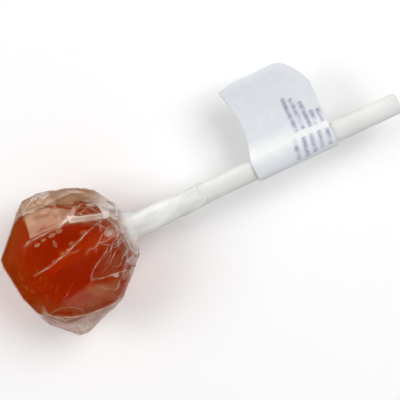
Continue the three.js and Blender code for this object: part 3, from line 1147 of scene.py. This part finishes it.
# The inner turns of the strip, next to the stick
label_middle = Matrix.Translation((LABEL_START + LABEL_WIDTH / 2, 0, 0))
for turn_radius in INNER_TURN_RADII:
    bmesh.ops.create_cone(
        label_mesh,
        cap_ends=False,
        segments=STICK_ROUND,
        radius1=turn_radius,
        radius2=turn_radius,
        depth=INNER_TURN_WIDTH,
        matrix=label_middle @ Matrix.Rotation(math.pi / 2, 4, "Y"),
    )
label = finished(label_mesh, "paper_label")
paper_wall = label.modifiers.new("wall", "SOLIDIFY")
paper_wall.thickness = PAPER_THICKNESS * MM
paper_wall.offset = 0


# Rows of short printed bars across the stick: x at each end, y at each end
PRINT_ROWS = (
    ((53.9, 53.9), (3.3, 11.0)),
    ((55.4, 55.4), (3.3, 10.3)),
    ((56.9, 56.9), (3.1, 8.9)),
    ((58.3, 58.3), (3.0, 6.4)),
    ((59.7, 59.7), (3.0, 6.1)),
    ((52.0, 52.7), (-2.1, 2.3)),
    ((53.9, 54.6), (-2.1, 1.9)),
    ((55.7, 56.4), (-2.0, 2.1)),
    ((57.4, 58.1), (-1.9, 1.8)),
    ((59.1, 59.8), (-1.9, 1.6)),
)
# A bar fades out between these distances from its middle line, and as softly at its ends
PRINT_EDGE = (0.82, 0.07)
PRINT_END_BLUR = 0.15
PRINT_TONE = (0.24, 0.26, 0.37)
LABEL_WHITES = ((0.65, 0.67, 0.71), (0.68, 0.70, 0.735))


def label_paper():
    finish = Finish("label_paper")
    place = finish.place()
    fibres = finish.node("TexNoise", values={"Vector": place, "Scale": 700, "Detail": 3})
    white = finish.mix(fibres.step(0.3, 0.75), *LABEL_WHITES)
    x, y, _ = finish.parts(place, 1 / MM)
    facing = finish.parts(finish.node("TexCoord", output="Normal"))[2]
    blots = finish.node("TexNoise", values={"Vector": place, "Scale": 1400, "Detail": 1})
    gaps = finish.node("TexNoise", values={"Vector": place, "Scale": 620, "Detail": 1})
    ink = 0
    for (start, end), (low, high) in PRINT_ROWS:
        line = (y - low) * ((end - start) / (high - low)) + start
        bar = abs(x - line).step(*PRINT_EDGE)
        bar = bar * y.step(low - PRINT_END_BLUR, low + PRINT_END_BLUR)
        ink = bar * y.step(high + PRINT_END_BLUR, high - PRINT_END_BLUR) + ink
    # Printed on the upper side alone, with gaps and blots
    ink = ink * facing.step(0.0, 0.2) * (gaps.step(0.3, 0.6) * 0.7 + 0.3)
    ink = ink * (blots.step(0.3, 0.6) * 0.3 + 0.58)
    tone = finish.mix(ink, white, PRINT_TONE)
    rough = finish.node("Bump", values={"Height": fibres, "Strength": 0.15, "Distance": 0.1 * MM})
    return finish.show(
        finish.node(
            "BsdfPrincipled",
            values={
                "Base Color": tone,
                "Roughness": 0.6,
                "Specular IOR Level": 0.15,
                "Normal": rough,
            },
        )
    )


label.data.materials.append(label_paper())
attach(label, "root")
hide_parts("label")


# ---- Floor, lamps and camera
# A plain pale floor, two soft lamps above and one low at each side that only glints, and a
# long-lens camera that looks down on the lollipop as it lies.

FLOOR_HALF_SIZE = 2000
FLOOR_TONE = (0.93, 0.93, 0.93)
GLINT_TONE = (1, 0.94, 0.76)
STUDIO_BRIGHTNESS = 0.4

floor_mesh = bmesh.new()
bmesh.ops.create_grid(floor_mesh, x_segments=1, y_segments=1, size=FLOOR_HALF_SIZE)
bmesh.ops.translate(floor_mesh, verts=floor_mesh.verts, vec=(0, 0, -middle.z / MM))
floor = finished(floor_mesh, "floor", smooth=False)
floor_finish = Finish("pale_floor")
floor.data.materials.append(
    floor_finish.show(
        floor_finish.node(
            "BsdfPrincipled",
            values={"Base Color": FLOOR_TONE, "Roughness": 0.9, "Specular IOR Level": 0.1},
        )
    )
)


def lamp(name, place, aim, width, height, power, only_gloss=False):
    """A soft rectangular lamp; one for gloss alone glints on the pieces without lighting them."""
    light = bpy.data.lights.new(name, "AREA")
    light.shape = "RECTANGLE"
    light.size = width * MM
    light.size_y = height * MM
    light.energy = power
    if only_gloss:
        light.color = GLINT_TONE
    holder = bpy.data.objects.new(name, light)
    holder.location = middle + Vector(place) * MM
    holder.rotation_mode = "QUATERNION"
    holder.rotation_quaternion = (Vector(aim) - Vector(place)).to_track_quat("-Z", "Y")
    holder.visible_diffuse = not only_gloss
    holder.visible_transmission = not only_gloss
    bpy.context.scene.collection.objects.link(holder)


lamp("lamp_by_stick", (330, 40, 430), (20, 0, 0), 300, 300, 1.6)
lamp("lamp_by_candy", (-330, 170, 430), (0, 0, 0), 300, 300, 1.2)
lamp("glint_far_side", (-60, 330, 40), (0, 0, 0), 300, 200, 15, only_gloss=True)
lamp("glint_near_side", (-60, -330, 40), (0, 0, 0), 300, 200, 2, only_gloss=True)

world = bpy.data.worlds.new("studio")
world.use_nodes = True
background = world.node_tree.nodes["Background"]
background.inputs["Color"].default_value = (1, 1, 1, 1)
background.inputs["Strength"].default_value = STUDIO_BRIGHTNESS
bpy.context.scene.world = world
bpy.context.scene.view_settings.view_transform = "Standard"

VIEW_TILT = math.radians(5)
VIEW_TURN = math.radians(25)
VIEW_DISTANCE = 300
VIEW_RIGHT = 27.1
VIEW_UP = 11.6
LENS_LENGTH = 128.1
SENSOR_WIDTH = 36
NEAREST_SEEN = 0.01
FARTHEST_SEEN = 20
back = Vector((math.sin(VIEW_TILT), 0, math.cos(VIEW_TILT)))
along_stick = Vector((math.cos(VIEW_TILT), 0, -math.sin(VIEW_TILT)))
across = Vector((0, 1, 0))
right = math.cos(VIEW_TURN) * along_stick - math.sin(VIEW_TURN) * across
up = math.sin(VIEW_TURN) * along_stick + math.cos(VIEW_TURN) * across
camera = bpy.data.objects.new("camera", bpy.data.cameras.new("camera"))
camera.data.sensor_width = SENSOR_WIDTH
camera.data.lens = LENS_LENGTH
camera.data.clip_start = NEAREST_SEEN
camera.data.clip_end = FARTHEST_SEEN
place = middle + (VIEW_RIGHT * right + VIEW_UP * up + VIEW_DISTANCE * back) * MM
camera.matrix_world = Matrix.Translation(place) @ Matrix((right, up, back)).transposed().to_4x4()
bpy.context.scene.collection.objects.link(camera)
bpy.context.scene.camera = camera
